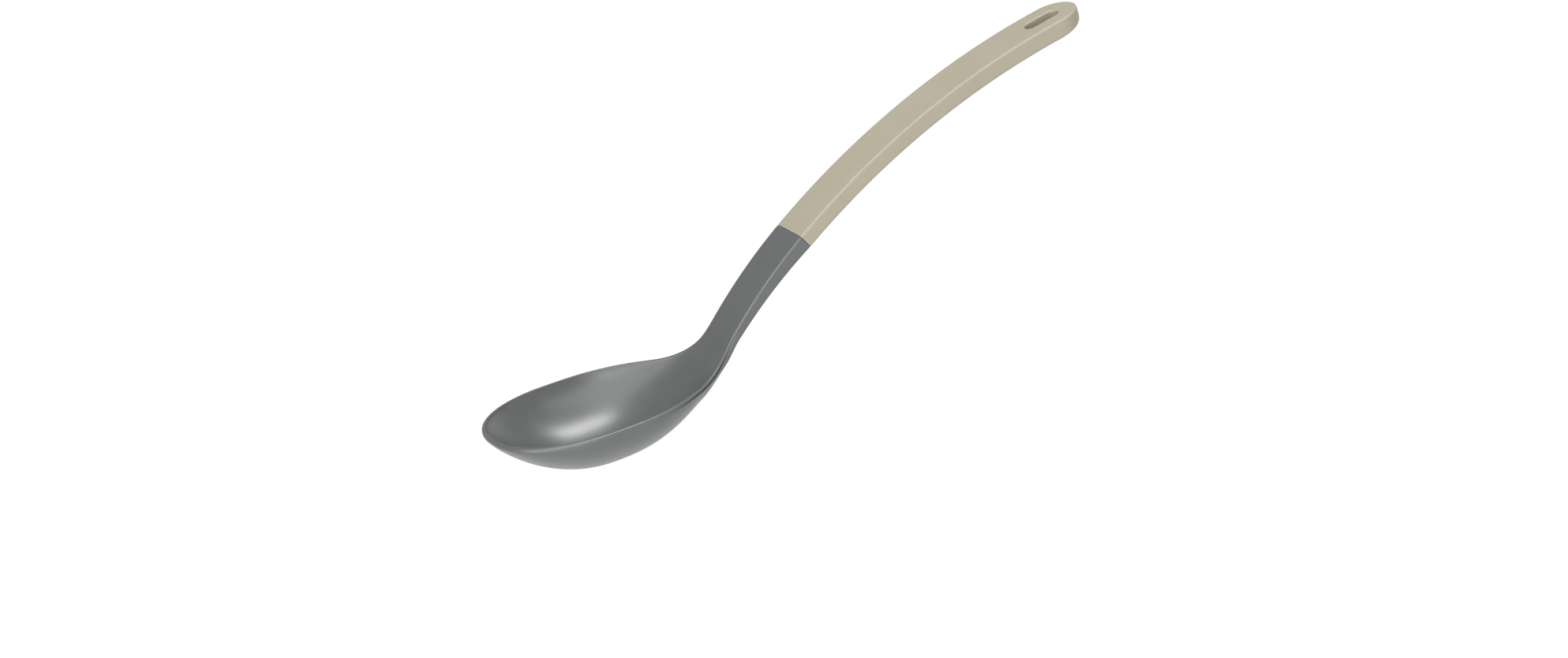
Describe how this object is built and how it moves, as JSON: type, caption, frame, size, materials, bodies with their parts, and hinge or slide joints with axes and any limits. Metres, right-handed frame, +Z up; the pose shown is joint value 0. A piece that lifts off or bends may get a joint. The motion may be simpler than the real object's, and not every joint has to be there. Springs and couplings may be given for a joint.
{
  "type": "serving spoon",
  "caption": "Kitchen serving spoon: deep oval nylon bowl on a steep arched neck, with a flat-topped plastic handle moulded over its tang and a hanging slot at the end.",
  "frame": {"origin": "middle of the box in plan, at the level of the table that the spoon lies on", "axes": "+X from the tip of the bowl to the end of the handle, +Y across the spoon, +Z up with the spoon lying on its bowl and the end of its handle"},
  "size_m": [0.3168, 0.0738, 0.0521],
  "materials": {
    "grey_nylon": "satin dark grey nylon with a fine moulded grain",
    "beige_plastic": "matte beige moulded plastic with a fine grain"
  },
  "bodies": {
    "root": {"spoon_head": "grey_nylon", "handle": "beige_plastic"}
  },
  "joints": []
}
